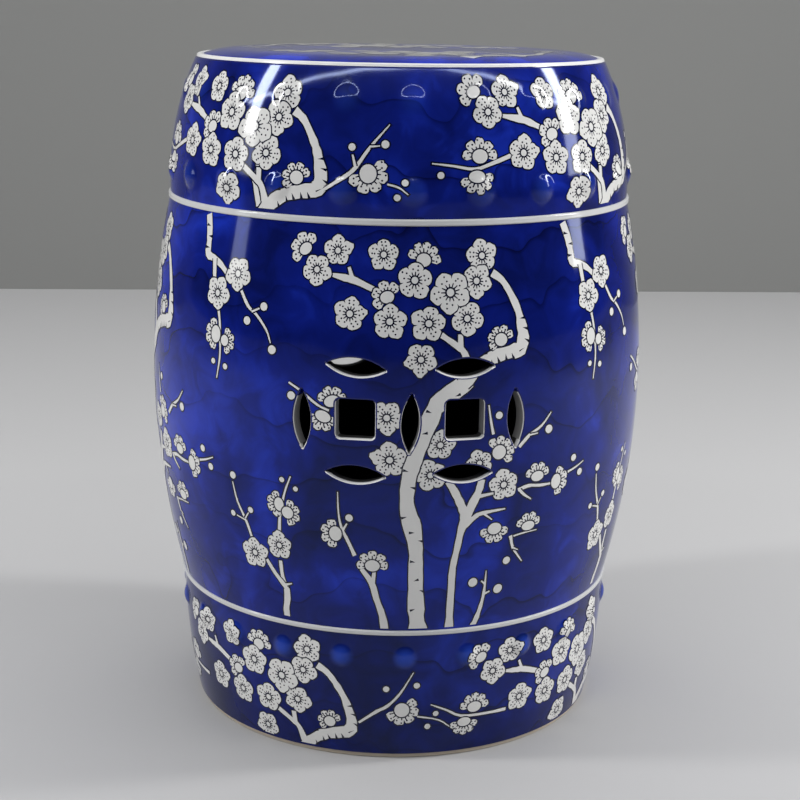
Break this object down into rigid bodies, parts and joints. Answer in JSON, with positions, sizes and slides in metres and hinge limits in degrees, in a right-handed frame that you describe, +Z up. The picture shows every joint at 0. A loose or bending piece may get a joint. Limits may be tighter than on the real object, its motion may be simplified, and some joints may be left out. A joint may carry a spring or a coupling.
{
  "type": "ceramic garden stool",
  "caption": "Barrel-shaped hollow ceramic garden stool with a pierced double coin on both sides, studded bands and a flat round seat.",
  "frame": {"origin": "centre of the foot, on the floor that the stool stands on", "axes": "+Z up the axis of the barrel; one double coin faces -Y, the front, and one faces +Y"},
  "size_m": [0.3423, 0.3422, 0.457],
  "materials": {
    "glaze_blue": "glossy cobalt blue glaze over a stoneware body",
    "glaze_white": "glossy pale glaze, thin over the crest of a coil",
    "bare_body": "unglazed fired clay"
  },
  "bodies": {
    "root": {"foot_ring": "bare_body", "base_band": "glaze_blue", "lower_rib": "glaze_white", "drum_wall": "glaze_blue", "upper_rib": "glaze_white", "shoulder_band": "glaze_blue", "seat_rim": "glaze_white", "seat_slab": "glaze_blue", "base_studs": "glaze_blue", "shoulder_studs": "glaze_blue", "crown_studs": "glaze_blue"}
  },
  "joints": []
}
